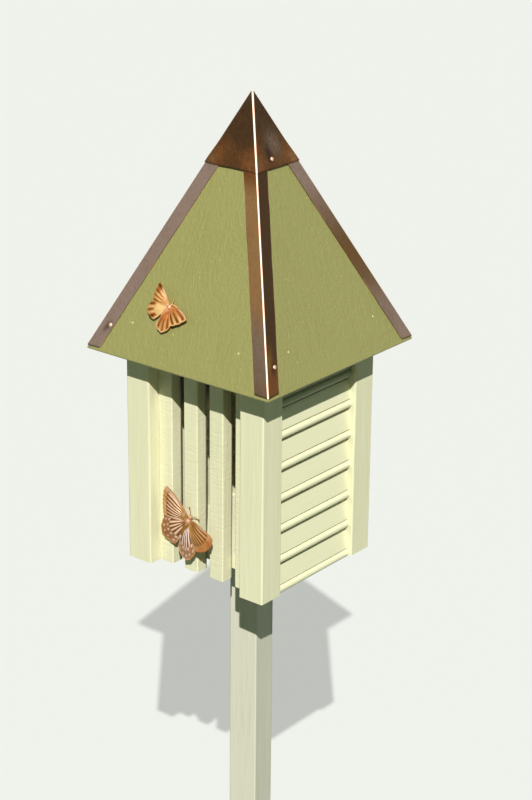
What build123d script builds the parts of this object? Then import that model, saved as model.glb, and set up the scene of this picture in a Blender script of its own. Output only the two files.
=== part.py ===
from build123d import *
import os
from math import acos, atan2, cos, degrees, radians, sin, sqrt, tan

# A butterfly house on a square garden pole: a slatted box under a steep pyramid roof
# with copper hips, a copper peak and two stamped copper butterflies.
# Millimetres. Origin on the foot of the pole, under the middle of the house, +Z up,
# the slatted front towards -Y.

# Pole
POLE_SIDE = 38.1
POLE_VISIBLE = 610.0        # from the ground to the lower edge of the walls
POLE_TURN = 6.7             # the pole stands a little turned under the house, degrees
POLE_OFFSET = (2.2, 1.8)    # and a little off the middle of the house
POLE_ROUNDING = 1.5

# Box
BODY_WIDTH = 204.0
WALL_HEIGHT = 265.0         # from the lower edge of the walls to the eaves
CORNER_POST = 34.2
CORNER_POST_ROUNDING = 1.8
FLOOR_THICKNESS = 18.0
FLOOR_SETBACK = 12.0        # the floor lies this far above the lower edge of the walls

# Slats of the front and the back
SLAT_COUNT = 4
SLAT_WIDTH = 20.4
SLAT_THICKNESS = 17.2
SLAT_ROUNDING = 1.4

# Beaded boards of the two sides
BOARD_COVER = 38.55         # height that each board covers
BOARD_DROP = 3.4            # the lowest bead hangs this far below the corner posts
BOARD_THICKNESS = 16.9      # at the foot of the face
BOARD_LEAN = 9.5            # each face leans in towards its top, degrees
BOARD_RECESS = 6.4          # foot of each face behind the face of the corner posts
BEAD_RADIUS = 5.0
BEAD_PROUD = 1.8            # the bead stands this far out from the foot of the face
QUIRK_DEPTH = 2.0           # narrow groove above the bead
QUIRK_WIDTH = 1.5
JOINT_GAP = 3.0             # open groove below each bead
LAP_HEIGHT = 6.0            # lip that stands up behind the board above
LAP_THICKNESS = 5.8
LAP_CLEARANCE = 0.5
BOARD_EDGE_ROUNDING = 0.8

# Roof
EAVE_OVERHANG = 32.2        # from the face of the corner posts out to the eave
ROOF_RISE = 296.0           # from the eave to the point where the faces of the panels meet
PANEL_THICKNESS = 12.7
EAVE_ROUNDING = 1.6
POINT_CUT = 8.0             # the panels end flat this far below their point, under the cap
ROOF_BASE_THICKNESS = 12.7

# Copper trim
COPPER_THICKNESS = 0.8
STRIP_LEG = 18.2            # width of a hip strip on each side of its fold
STRIP_SETBACK = 5.0         # from the eave up to the end of the strip, measured upright
STRIP_TUCK = 14.0           # height of strip that runs on under the cap
FOLD_ROUNDING = 1.5
CAP_DEPTH = 78.5            # from the lower edge of the cap up to the roof's point
CAP_TIP_HALF = 1.65         # half the width of the cap's blunt tip
CAP_CLEARANCE = 0.2         # room between the hip strips and the cap

# Copper butterflies
ROOF_BUTTERFLY_SIZE = 31.0  # length of a forewing
ROOF_BUTTERFLY_X = -28.7
ROOF_BUTTERFLY_UP = 70.5    # up the panel from the eave
ROOF_BUTTERFLY_TILT = 34.0  # head turned this far to the right of straight up, degrees
ROOF_BUTTERFLY_RAISE = {"left": 12.0, "right": 6.0}     # wings bent up from the body, degrees
FRONT_BUTTERFLY_SIZE = 50.5
FRONT_BUTTERFLY_SLAT_NUMBER = 2     # the slat that carries the body, counted from the left
FRONT_BUTTERFLY_UP = 64.5   # above the lower edge of the walls
FRONT_BUTTERFLY_TILT = 27.5
FRONT_BUTTERFLY_RAISE = {"left": 4.0, "right": 20.0}
BODY_LIFT = 5.0             # middle of the body above the wood
WING_THICKNESS = 1.0
PIN_RADIUS = 1.5
ANTENNA_RADIUS = 0.6
CLUB_RADIUS = 0.9           # thicker end of each antenna
CLUB_LENGTH = 2.4

# Shape of a butterfly, as shares of the length of a forewing, with X to the right
# and Y towards the head. Bows are those of the leading edge, the margin and the heel side.
FOREWING = {"root": (0.02, 0.08), "tip": (0.94, 0.34), "heel": (0.62, -0.33), "bows": (0.09, 0.05, 0.03)}
HINDWING = {"root": (0.02, 0.00), "tip": (0.60, -0.36), "heel": (0.06, -0.78), "bows": (0.03, 0.24, 0.03)}
SCALLOPS = 6                # along the margin of each wing
SCALLOP_BULGE = 0.018
HEAD_PLACE = 0.15
HEAD_RADIUS = 0.052
THORAX_PLACE = 0.03
THORAX_LENGTH = 0.18
THORAX_RADIUS = 0.088
THORAX_BEVEL = 0.035
ABDOMEN_LENGTH = 0.52
ABDOMEN_RADIUS = 0.07       # at the thorax
TAIL_RADIUS = 0.035
ANTENNA = {"base": (0.015, 0.17), "end": (0.22, 0.29), "bow": 0.05}

# Worked out from the sizes above
WALL_BOTTOM = POLE_VISIBLE
EAVE_LEVEL = WALL_BOTTOM + WALL_HEIGHT
PEAK_LEVEL = EAVE_LEVEL + ROOF_RISE
FLOOR_BOTTOM = WALL_BOTTOM + FLOOR_SETBACK
BODY_HALF = BODY_WIDTH / 2
POST_INSIDE = BODY_HALF - CORNER_POST
OPENING = 2 * POST_INSIDE
SLAT_PITCH = (OPENING - SLAT_WIDTH) / (SLAT_COUNT - 1)
BOARD_FACE = BODY_HALF - BOARD_RECESS
BOARD_INSIDE = BOARD_FACE - BOARD_THICKNESS
BOARD_COUNT = round((WALL_HEIGHT + BOARD_DROP) / BOARD_COVER)
TOP_BOARD_COVER = WALL_HEIGHT + BOARD_DROP - (BOARD_COUNT - 1) * BOARD_COVER
EAVE_HALF = BODY_HALF + EAVE_OVERHANG
ROOF_SLOPE = atan2(ROOF_RISE, EAVE_HALF)
CAP_LEVEL = PEAK_LEVEL - CAP_DEPTH


def turned(shape, angle):
    """The shape turned about the upright middle line of the house."""
    return Rot(0, 0, angle) * shape


def rounded_bar(width, depth, height, rounding):
    """An upright bar that stands on z = 0, with its four long edges eased."""
    return extrude(RectangleRounded(width, depth, rounding), height)


# Pole and box

def pole():
    """The garden pole, from the ground to the underside of the floor."""
    bar = rounded_bar(POLE_SIDE, POLE_SIDE, FLOOR_BOTTOM, POLE_ROUNDING)
    return Pos(*POLE_OFFSET) * turned(bar, POLE_TURN)


def floor_board():
    """The floor between the slats and the side boards, set up out of sight."""
    slab = extrude(Rectangle(2 * BOARD_INSIDE, OPENING), FLOOR_THICKNESS)
    return Pos(0, 0, FLOOR_BOTTOM) * slab


def corner_post():
    """The post of the front right corner."""
    middle = BODY_HALF - CORNER_POST / 2
    bar = rounded_bar(CORNER_POST, CORNER_POST, WALL_HEIGHT, CORNER_POST_ROUNDING)
    return Pos(middle, -middle, WALL_BOTTOM) * bar


def slat_centre(number):
    """Place of a slat across the front; the first one stands against the left post."""
    return -POST_INSIDE + SLAT_WIDTH / 2 + (number - 1) * SLAT_PITCH


def front_slat(number):
    """A slat of the front, flush with the inner faces of the corner posts."""
    bar = rounded_bar(SLAT_WIDTH, SLAT_THICKNESS, WALL_HEIGHT, SLAT_ROUNDING)
    return Pos(slat_centre(number), -POST_INSIDE - SLAT_THICKNESS / 2, WALL_BOTTOM) * bar


def board_profile(shoulder, lip_top):
    """Section of a side board: X outwards from its back, Y upwards from its lower edge.

    The face leans in up to the shoulder, and a lip goes on up behind the board above.
    """
    face = BOARD_THICKNESS
    bead_middle = (face + BEAD_PROUD - BEAD_RADIUS, BEAD_RADIUS)
    quirk_angle = degrees(acos(1 - (BEAD_PROUD + QUIRK_DEPTH) / BEAD_RADIUS))
    bead = CenterArc(bead_middle, BEAD_RADIUS, -90, 90 + quirk_angle)
    quirk_top = (bead @ 1).Y + QUIRK_WIDTH
    outline = Polyline(
        bead @ 1,
        (face - QUIRK_DEPTH, quirk_top),
        (face, quirk_top),
        (face - (shoulder - quirk_top) * tan(radians(BOARD_LEAN)), shoulder),
        (LAP_THICKNESS, shoulder),
        (LAP_THICKNESS, lip_top),
        (0, lip_top),
        (0, LAP_HEIGHT),
        (LAP_THICKNESS, LAP_HEIGHT),
        (LAP_THICKNESS, 0),
        bead @ 0,
    )
    section = make_face([bead, outline])
    face_ends = [
        section.vertices().filter_by_position(Axis.Y, level, level).sort_by(Axis.X)[-1]
        for level in (quirk_top, shoulder)
    ]
    return fillet(face_ends, BOARD_EDGE_ROUNDING)


def top_board_profile():
    """Section of the top board, which is ripped to fit and butts against the roof base."""
    uncut = board_profile(TOP_BOARD_COVER + JOINT_GAP, TOP_BOARD_COVER + LAP_HEIGHT)
    return uncut & Rectangle(4 * BOARD_THICKNESS, 2 * TOP_BOARD_COVER)


def right_board(number):
    """A beaded board of the right side, counted from the bottom."""
    foot = (BOARD_INSIDE, 0, WALL_BOTTOM - BOARD_DROP + (number - 1) * BOARD_COVER)
    upright = Plane(origin=foot, x_dir=(1, 0, 0), z_dir=(0, -1, 0))
    if number < BOARD_COUNT:
        section = board_profile(BOARD_COVER - JOINT_GAP, BOARD_COVER + LAP_HEIGHT - LAP_CLEARANCE)
    else:
        section = top_board_profile()
    return extrude(upright * section, OPENING / 2, both=True)


# Roof

def roof_panel():
    """The front panel, mitred against its neighbours along the hips and cut flat at the top."""
    flat_cut = PANEL_THICKNESS / sin(ROOF_SLOPE)
    point_cut = PANEL_THICKNESS / cos(ROOF_SLOPE)
    outline = Polyline(
        (-EAVE_HALF, EAVE_LEVEL),
        (0, PEAK_LEVEL),
        (0, PEAK_LEVEL - point_cut),
        (-EAVE_HALF + flat_cut, EAVE_LEVEL),
        close=True,
    )
    section = make_face(outline)
    eave = section.vertices().sort_by(Axis.X)[0]
    slab = extrude(Plane.YZ * fillet(eave, EAVE_ROUNDING), EAVE_HALF, both=True)
    quarter = make_face(Polyline((0, 0), (-EAVE_HALF, -EAVE_HALF), (EAVE_HALF, -EAVE_HALF), close=True))
    return slab & extrude(quarter, PEAK_LEVEL - POINT_CUT)


def roof_base():
    """The board that closes the box and carries the panels, bevelled to their inner faces."""
    half = EAVE_HALF - PANEL_THICKNESS / sin(ROOF_SLOPE)
    bevel = 90 - degrees(ROOF_SLOPE)
    return Pos(0, 0, EAVE_LEVEL) * extrude(Rectangle(2 * half, 2 * half), ROOF_BASE_THICKNESS, taper=bevel)


def hip_strip():
    """The folded copper strip over the front right hip."""
    along = Vector(-EAVE_HALF, EAVE_HALF, ROOF_RISE)
    across = Plane(origin=(EAVE_HALF, -EAVE_HALF, EAVE_LEVEL), x_dir=(1, 1, 0), z_dir=along)
    spread = sin(ROOF_SLOPE) / sqrt(2)
    drop = sqrt(1 - spread ** 2)
    leg = Vector(STRIP_LEG * drop, STRIP_LEG * spread)
    out = Vector(COPPER_THICKNESS * spread, -COPPER_THICKNESS * drop)
    fold = (0, -COPPER_THICKNESS / drop)
    outline = Polyline(
        (0, 0),
        (leg.X, leg.Y),
        (leg.X + out.X, leg.Y + out.Y),
        fold,
        (-leg.X - out.X, leg.Y + out.Y),
        (-leg.X, leg.Y),
        close=True,
    )
    section = make_face(outline)
    outer_corner = section.vertices().sort_by(Axis.Y)[0]
    strip = extrude(across * fillet(outer_corner, FOLD_ROUNDING), along.length)
    low = EAVE_LEVEL + STRIP_SETBACK
    high = CAP_LEVEL + STRIP_TUCK
    return strip & (Pos(0, 0, low) * extrude(Rectangle(4 * EAVE_HALF, 4 * EAVE_HALF), high - low))


def cap_body(offset, rounding):
    """A blunt pyramid with rounded folds, at an offset from the faces of the roof panels."""
    point = PEAK_LEVEL + offset / cos(ROOF_SLOPE)
    foot_width = 2 * (point - CAP_LEVEL) / tan(ROOF_SLOPE)
    height = point - CAP_TIP_HALF * tan(ROOF_SLOPE) - CAP_LEVEL
    blank = extrude(Rectangle(foot_width, foot_width), height, taper=90 - degrees(ROOF_SLOPE))
    hips = blank.edges() - blank.edges().filter_by(Plane.XY)
    return Pos(0, 0, CAP_LEVEL) * fillet(hips, rounding)


def roof_cap():
    """The folded copper peak, which sits over the upper ends of the hip strips."""
    inside = COPPER_THICKNESS + CAP_CLEARANCE
    outer = cap_body(inside + COPPER_THICKNESS, FOLD_ROUNDING)
    return outer - cap_body(inside, FOLD_ROUNDING - COPPER_THICKNESS)


# Butterflies

def scalloped(guide, size):
    """Shallow arcs that bulge outwards, strung along a guide curve."""
    stops = [guide @ (step / SCALLOPS) for step in range(SCALLOPS + 1)]
    return [SagittaArc(start, end, SCALLOP_BULGE * size) for start, end in zip(stops, stops[1:])]


def wing(shape, size):
    """The flat outline of a right wing: leading edge, scalloped margin and heel side."""
    root, tip, heel = (Vector(*shape[name]) * size for name in ("root", "tip", "heel"))
    leading_bow, margin_bow, heel_bow = (bow * size for bow in shape["bows"])
    margin = scalloped(SagittaArc(tip, heel, margin_bow), size)
    return make_face([SagittaArc(root, tip, leading_bow), *margin, SagittaArc(heel, root, heel_bow)])


def insect_body(size):
    """Round head, bevelled thorax and tapered abdomen along Y."""
    head = Pos(0, HEAD_PLACE * size, 0) * Sphere(HEAD_RADIUS * size)
    barrel = Cylinder(THORAX_RADIUS * size, THORAX_LENGTH * size)
    thorax = chamfer(barrel.edges().filter_by(GeomType.CIRCLE), THORAX_BEVEL * size)
    length = ABDOMEN_LENGTH * size
    abdomen = Pos(0, 0, length / 2) * Cone(ABDOMEN_RADIUS * size, TAIL_RADIUS * size, length)
    backwards = Plane(origin=(0, THORAX_PLACE * size, 0), z_dir=(0, -1, 0))
    return head + backwards * (thorax + abdomen)


def antenna(size):
    """The right feeler, a wire that bends outwards from the head, with a thicker end."""
    base, end = (Vector(*ANTENNA[name]) * size for name in ("base", "end"))
    bend = SagittaArc(base, end, ANTENNA["bow"] * size) @ 0.5
    path = Polyline(base, bend, end)
    section = Plane(origin=path @ 0, z_dir=path % 0) * Circle(ANTENNA_RADIUS)
    club = Plane(origin=end, z_dir=path % 1) * Cylinder(CLUB_RADIUS, CLUB_LENGTH)
    return sweep(section, path, transition=Transition.RIGHT) + club


def right_half(size, raised):
    """The wings and the antenna of the right side, the wings bent up from the body."""
    wings = extrude(wing(FOREWING, size) + wing(HINDWING, size), WING_THICKNESS)
    return Rot(0, -raised, 0) * wings + antenna(size)


def butterfly(size, raised):
    """A stamped butterfly over the XY plane, head towards +Y, on a pin through its middle."""
    left_half = mirror(right_half(size, raised["left"]), Plane.YZ)
    insect = insect_body(size) + right_half(size, raised["right"]) + left_half
    return Pos(0, 0, BODY_LIFT) * insect + extrude(Circle(PIN_RADIUS), BODY_LIFT)


def roof_butterfly():
    """The butterfly on the lower left of the front roof panel."""
    outward = (0, -sin(ROOF_SLOPE), cos(ROOF_SLOPE))
    y = -EAVE_HALF + ROOF_BUTTERFLY_UP * cos(ROOF_SLOPE)
    z = EAVE_LEVEL + ROOF_BUTTERFLY_UP * sin(ROOF_SLOPE)
    seat = Plane(origin=(ROOF_BUTTERFLY_X, y, z), x_dir=(1, 0, 0), z_dir=outward)
    insect = butterfly(ROOF_BUTTERFLY_SIZE, ROOF_BUTTERFLY_RAISE)
    return seat * (Rot(0, 0, -ROOF_BUTTERFLY_TILT) * insect)


def front_butterfly():
    """The larger butterfly, low on the slats of the front."""
    x = slat_centre(FRONT_BUTTERFLY_SLAT_NUMBER)
    place = (x, -POST_INSIDE - SLAT_THICKNESS, WALL_BOTTOM + FRONT_BUTTERFLY_UP)
    seat = Plane(origin=place, x_dir=(1, 0, 0), z_dir=(0, -1, 0))
    insect = butterfly(FRONT_BUTTERFLY_SIZE, FRONT_BUTTERFLY_RAISE)
    return seat * (Rot(0, 0, -FRONT_BUTTERFLY_TILT) * insect)


# Assembly

def assembly():
    """Every piece of the house by its name."""
    pieces = {"pole": pole(), "floor_board": floor_board(), "roof_base": roof_base(), "roof_cap": roof_cap()}
    corners = {"front_right": 0, "back_right": 90, "back_left": 180, "front_left": 270}
    for name, angle in corners.items():
        pieces["corner_post_" + name] = turned(corner_post(), angle)
        pieces["hip_strip_" + name] = turned(hip_strip(), angle)
    for name, angle in {"front": 0, "right": 90, "back": 180, "left": 270}.items():
        pieces["roof_panel_" + name] = turned(roof_panel(), angle)
    for number in range(1, SLAT_COUNT + 1):
        pieces[f"front_slat_{number}"] = front_slat(number)
        pieces[f"back_slat_{number}"] = turned(front_slat(number), 180)
    for number in range(1, BOARD_COUNT + 1):
        pieces[f"right_board_{number}"] = right_board(number)
        pieces[f"left_board_{number}"] = turned(right_board(number), 180)
    pieces["roof_butterfly"] = roof_butterfly()
    pieces["front_butterfly"] = front_butterfly()
    return pieces


os.makedirs("parts", exist_ok=True)
for node, solid in assembly().items():
    export_step(solid, f"parts/{node}.step")
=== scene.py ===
"""Looks for the butterfly house: brushed paint over sawn wood, aged copper and stamped butterflies."""

from math import asin, atan2, copysign, cos, exp, hypot, pi, radians, sin, sqrt, tan

import bpy
from mathutils import Matrix, Vector, noise


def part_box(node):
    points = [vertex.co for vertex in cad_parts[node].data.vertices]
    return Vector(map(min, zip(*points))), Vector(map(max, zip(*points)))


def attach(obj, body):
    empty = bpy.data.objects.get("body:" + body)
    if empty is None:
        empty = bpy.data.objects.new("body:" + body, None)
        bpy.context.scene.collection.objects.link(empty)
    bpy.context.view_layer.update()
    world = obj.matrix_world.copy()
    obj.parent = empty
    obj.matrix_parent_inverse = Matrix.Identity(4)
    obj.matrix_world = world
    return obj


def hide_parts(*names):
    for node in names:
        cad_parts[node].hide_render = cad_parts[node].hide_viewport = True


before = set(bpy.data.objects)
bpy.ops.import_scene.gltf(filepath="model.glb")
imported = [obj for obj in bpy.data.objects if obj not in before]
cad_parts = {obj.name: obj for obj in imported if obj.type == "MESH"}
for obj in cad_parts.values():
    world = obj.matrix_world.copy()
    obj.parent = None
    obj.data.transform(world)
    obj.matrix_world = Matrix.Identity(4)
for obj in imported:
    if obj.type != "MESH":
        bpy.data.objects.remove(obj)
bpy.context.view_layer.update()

# Places read from the frame
POST_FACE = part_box("corner_post_front_right")[1].x
EAVE_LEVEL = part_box("corner_post_front_right")[1].z
CAP_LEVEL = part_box("roof_cap")[0].z
INSIDE_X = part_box("right_board_1")[0].x
INSIDE_Y = -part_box("front_slat_1")[1].y

# The view of the photograph
IMAGE_HEIGHT = 800
FOCAL_PIXELS = 2089
SENSOR = 36.0
AZIMUTH = 38.787
ELEVATION = 21.524
ROLL = 0.532
DISTANCE = 2.4412
TARGET = Vector((0.01412, 0.01135, 0.80519))

# Light and surroundings
SUN = {"source": Vector((0.470, -0.568, 0.65)), "size": 0.55, "power": 5.15}
FILL = {"source": Vector((-0.50, 0.62, 0.45)), "size": 50.0, "power": 2.8}  # softer, on the shaded sides
SKY_POWER = 0.158
SKY = (196, 252, 212)
SURROUNDINGS = (236, 236, 232)
FLOOR_PAINT = (196, 196, 192)
FLOOR_BOUNCE = (50, 60, 40)  # the floor as the object sees it
FLOOR_GLOW = 0.42  # even brightness, which keeps it pale in shadow
FLOOR_HALF = 12.0

# Sizes in metres that the frame doesn't give
EAVE_OVERHANG = 0.0322  # from the face of the corner posts out to the eave
ROOF_RISE = 0.296  # from the eave to where the faces of the panels meet
STRIP_LEG = 0.0176
STRIP_SETBACK = 0.005
STRIP_TUCK = 0.012
SHEET_THICKNESS = 0.0008
STRIP_FOLD_RADIUS = 0.0020  # outside of the sheet
STRIP_LIFT = 0.0016  # outside of the strip above the panels, beside its fold
STRIP_EDGE_LIFT = 0.0010  # and at its edges
CAP_FOLD_RADIUS = 0.0020
CAP_LIFT = 0.0019  # outside of the cap above the panels
CAP_FLARE = 0.0008  # further out at its lower edge, over the strips
CAP_FLARE_SHARE = 0.35  # of the cap's height
CAP_TIP_HALF = 0.0016
CAP_ROUND_SHARE = 0.8  # of its half width, which its folds take up at most
NAIL_RADIUS = 0.0024
NAIL_HEIGHT = 0.0010
NAIL_RINGS = 4
NAIL_TOP_SHARE = 0.02  # of its radius, flat at its top
# Share of polish and painted highlight at the foot of a nail head
NAIL_FOOT_WEAR_AND_HIGHLIGHT = 0.2
ROUND_SIDES = 16  # of nail heads and pins
STRIP_NAIL = {"up": 0.0344, "across": 0.0118, "lift": 0.0011}
CAP_NAIL = {"up": 0.0092, "across": 0.006, "lift": 0.00186}
CAP_NAILED_SIDES = (1, 3)  # the right and the left one
PANEL_NAIL = {"up": 0.0430, "across": 0.0777, "radius": 0.0012, "height": 0.0005}
INSIDE_SHADE_REACH = 0.004  # the painted shade inside fades out this far into the walls
INSIDE_SHADE_DROP = 0.105  # the painted shade inside starts this far below the eave
INSIDE_SHADE_FADE = 0.03  # height over which it sets in
EAVE_SHADE_DROP = (0.050, 0.030)  # where the painted shade below the eave starts, and where it is full

# Sawn wood: the axis of its grain, how matt it is, and how thin the paint and how deep in metres
# the wood is along the lines of the grain
SAWN_UPRIGHT = {"grain": "Z", "roughness": 0.5, "thinness": 0.55, "depth": 0.00030}
SAWN_LEVEL = {"grain": "Y", "roughness": 0.46, "thinness": 0.25, "depth": 0.00008}
SAWN_POLE = {"grain": "Z", "roughness": 0.55, "thinness": 0.6, "depth": 0.00022}
GRAIN_STRETCH = 0.04  # clouds of its noise along the grain to each one across
SAW_MARKS = 0.0005  # their depth across the slats
# How strong the painted shade under the eave is
EAVE_SHADE_SHARE = 0.7

# Steps in which the copper is drawn
STRIP_ROWS = 110
FOLD_STEP = 0.00035
FOLD_STEPS = 7  # on each side of the middle of a fold
LEG_START = 0.0030  # from the middle of the fold
LEG_STEPS = 11
CAP_ROWS = 44
CAP_SIDE_STEPS = 18
CAP_CORNER_STEPS = 8

# Waves in the copper and in its polish and painted highlight: their height, in metres or as a share, and
# their length in metres
STRIP_DENTS = (0.00035, 0.035)
STRIP_END_WAVES = (0.0004, 0.009)
STRIP_EDGE_WAVES = (0.02, 0.022)  # of the leg
STRIP_TONE_DRIFT = (0.10, 0.05)  # of the strip
STRIP_HIGHLIGHT_WAVES = (0.18, 0.03)
STRIP_EDGE_PATCHES = (1.0, 0.03)
CAP_END_WAVES = (0.0005, 0.012)
CAP_HIGHLIGHT_WAVES = (0.15, 0.02)
CAP_DENT = 0.0007
CAP_DENT_SCALE = Vector((45, 9.1, 38))  # dents to a metre across, to a side and to a metre up
CAP_DENT_SPAN = (0.003, 0.010)  # from a fold, where the dents start and are full

# Marks by a nail: strength, width, place across and up from it, and the share of distance up that counts
STRIP_PRESS = (0.0003, 0.006)
STRIP_OCHRE = (1.0, 0.0045, (-0.00708, 0.006), 0.35)
STRIP_STAIN = (0.7, 0.0034, (-0.0015, -0.002), 0.6)
CAP_PRESS = (0.0009, 0.008)
CAP_VEIL = (0.8, 0.011, (0.010, 0.0168), 0.8)
CAP_STREAK = (0.85, 0.0045, (-0.003, 0.0078), 0.5)

# Wear and stains along the edges of the copper
EDGE_WEAR = 0.45
EDGE_WEAR_FROM = 0.93  # of the way from the fold to the edge
EDGE_WEAR_PATCHES = (-0.2, 0.5)
PLAIN_STAIN = 0.3  # under the sheet and on nail heads
STRIP_END_STAIN = (0.7, 0.010, 0.95)  # strength, reach up the strip, and the most with a nail's
CAP_END_STAIN = (0.6, 0.0018, 0.9)
CAP_CORNER_GLOW = (0.5, 0.014, (0.0, 0.006))
CAP_CORNER_AT = 0.8  # share of the half width
CAP_EDGE_GLOW = (0.25, 0.03)
CAP_MOTTLE = 0.25
CAP_WEAR_AND_HIGHLIGHT = 1.3  # width of the polish and painted highlight on its folds, in times that of the strips' folds

# Colours, as sRGB values out of 255
HOUSE_PAINT = (222, 218, 182)
HOUSE_PAINT_THIN = (206, 200, 160)
ROOF_PAINT = (139, 135, 79)
ROOF_PAINT_DARK = (126, 122, 68)
ROOF_PAINT_PALE = (158, 154, 98)
ROOF_SPECK = (192, 190, 130)
# A dark painted shade inside the house
INSIDE_SHADE = (64, 50, 34)
# Painted shade under the eave
EAVE_SHADE = (118, 128, 96)
POLE_PAINT = (203, 199, 179)
POLE_PAINT_THIN = (180, 178, 157)
WORN_HIGHLIGHT_COPPER = (224, 188, 166)
RUBBED_HIGHLIGHT_COPPER = (180, 134, 108)
TAN = (142, 106, 66)
BROWN = (104, 75, 42)
UMBER = (68, 47, 25)
SOOT = (38, 26, 15)
RUSSET = (110, 68, 32)
# Mauve patina, also used as a painted reflection
MAUVE_PATINA_AND_REFLECTION = (140, 119, 106)
SLATE = (120, 100, 84)
OCHRE = (126, 88, 26)
CREAM = (222, 182, 120)
PINK = (222, 172, 136)
# A painted highlight on the copper
PALE_HIGHLIGHT = (238, 212, 200)
PEACH = (238, 200, 166)
FAWN = (206, 156, 112)
GOLDEN = (202, 148, 92)
OLIVE = (164, 118, 54)
ORANGE = (188, 116, 60)
RED = (174, 100, 54)
SHADED_COPPER = (120, 74, 34)
ANTIQUE_COPPER = (104, 58, 4)
ANTENNA_COPPER = (128, 104, 62)
PAINTED_NAIL = (206, 200, 140)

# Patina of each leg of a hip strip, from its lower end to the cap; the front leg of the front left one is
# mauve as a painted reflection
STRIP_TONES = {
    "front_right": {
        "front": (BROWN, SLATE, TAN, TAN, TAN, RUSSET),
        "right": (RUSSET, *[UMBER] * 5),
    },
    "back_right": {"right": (MAUVE_PATINA_AND_REFLECTION, BROWN, MAUVE_PATINA_AND_REFLECTION), "back": (BROWN, TAN, UMBER)},
    "back_left": {"back": (TAN, MAUVE_PATINA_AND_REFLECTION, BROWN), "left": (UMBER, BROWN, RUSSET)},
    "front_left": {"left": (BROWN, TAN, RUSSET), "front": (MAUVE_PATINA_AND_REFLECTION, MAUVE_PATINA_AND_REFLECTION, MAUVE_PATINA_AND_REFLECTION)},
}
CAP_TONES = (UMBER, RUSSET, TAN)
FOLD_HIGHLIGHT_HALF_WIDTH = 0.0005  # polished bright, with a painted highlight, on each side of a fold
FOLD_HIGHLIGHT_FADE = 0.0009
FOLD_WEAR_AND_HIGHLIGHT = (1.0, 0.35, 0.7, 0.35)  # polish and painted highlight of each fold, from the front right one towards the back
NAIL_STAIN = (0.75, 0.0, 0.4, 0.0)  # ochre beside the nail of each strip, in the same order

# Stamped butterflies, with sizes as shares of the length of a forewing. X is to the right,
# Y towards the head and Z away from the wood. Bows are those of the leading edge, the margin
# and the heel side.
FOREWING = {
    "root": (0.02, 0.08), "tip": (0.94, 0.34), "heel": (0.62, -0.33), "level": 0.0,
    "bows": (0.06, 0.05, 0.03), "tip_round": 0.0,
}
ROUND_FOREWING = FOREWING | {"tip": (0.94, 0.37), "bows": (0.10, 0.05, 0.03), "tip_round": 0.03}
BULGING_FOREWING = FOREWING | {"tip": (0.93, 0.32), "bows": (0.10, 0.11, 0.03), "tip_round": 0.05}
ARCHED_FOREWING = FOREWING | {"bows": (0.14, 0.05, 0.03)}
HINDWING = {
    "root": (0.02, 0.00), "tip": (0.61, -0.36), "heel": (0.04, -0.80), "level": -0.012,
    "bows": (0.03, 0.26, 0.03), "tip_round": 0.02,
}
RAISED_HINDWING = HINDWING | {"tip": (0.66, -0.27), "heel": (0.14, -0.77)}
SCALLOP_BULGE = 0.022
SCALLOP_LEVEL = 0.6  # share of a bulge that lies inside the margin
TIP_ROUND_SPAN = 0.18
WING_ROOT_SHARE = 0.06  # a wing starts this far out, inside the thorax
VEIN_HEIGHT = 0.013
VEIN_SHARPNESS = 1.2
PLAIN_FADE = (-0.08, 0.12)  # before and after the end of the smooth part
RIBS_FADE = 0.12
RIM_HEIGHT = 0.014
RIM_WIDTHS = (0.05, 0.035, 0.03)  # along the margin, the leading edge and the heel side
PLAIN_RIDGE = 0.75  # the smooth part is as bright as this height of a ridge
SPOT_HEIGHT = 0.016
SPOT_SIZE = 0.055
SPOT_ROWS = (0.72, 0.88)  # of the way from root to margin
SPOT_NARROWING = 0.9
SPOT_WEAR = 0.8
DARK_FADE = 0.24  # span in which the dark between the ridges comes
DARK_EDGE = 0.7  # of the way to the middle between two ridges
DARK_DRIFT = 0.6
TONE_DRIFT = 0.22
DRIFT_SCALE = Vector((4, 4, 5))
DRIFT_SHIFT = Vector((7, 0, 0))
TIP_DARK_ACROSS = (0.10, 0.34)
TIP_DARK_OUT = (0.62, 0.86)
EDGE_WIDTH = 0.09  # polished bright, with a painted highlight, along the leading edge
EDGE_FADE = 0.2
BARE_RIM = (0.90, 0.97)
WING_CAMBER = 0.05
CAMBER_START = 0.15  # part of a bow that the wing takes up, from its leading edge on
CAMBER_SHARE = 0.7
DROOP_FROM = 0.45
HEEL_DROOP = 0.5  # the heel side droops by this share less
WING_WAVES = 0.012  # uneven height of the sheet
WAVE_SCALE = Vector((5, 5, 3))
WING_SHEET = 0.001  # thickness in metres
VEIN_STEPS = 12
STEPS_OUT = 44
BODY_LIFT = 0.005  # middle of the body above the wood, in metres
BODY_SIDES = 20
PIN_RADIUS = 0.0015
ANTENNA = {
    "base": (0.015, 0.17), "bow": 0.03, "radius": 0.0004, "drop": 0.75, "steps": 14, "sides": 8,
    "club": 0.0008, "club_at": 0.92, "club_width": 0.09, "end": (0.96, 1.04),
    "left": (0.19, 0.29), "right": (0.21, 0.21),
}
BODY_PROFILE = [  # place along Y and radius: head, neck, thorax, waist
    (0.205, 0.000), (0.200, 0.022), (0.183, 0.041), (0.155, 0.051), (0.127, 0.041), (0.110, 0.036),
    (0.090, 0.062), (0.055, 0.083), (0.020, 0.088), (-0.020, 0.080), (-0.055, 0.056),
]
ABDOMEN = {
    "start": -0.055, "end": -0.47, "radius": 0.068, "tail": 0.026, "taper": 2.2, "segments": 8, "steps": 6,
    "groove": 0.10, "groove_at": 0.02, "groove_width": 0.16,
}
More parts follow.
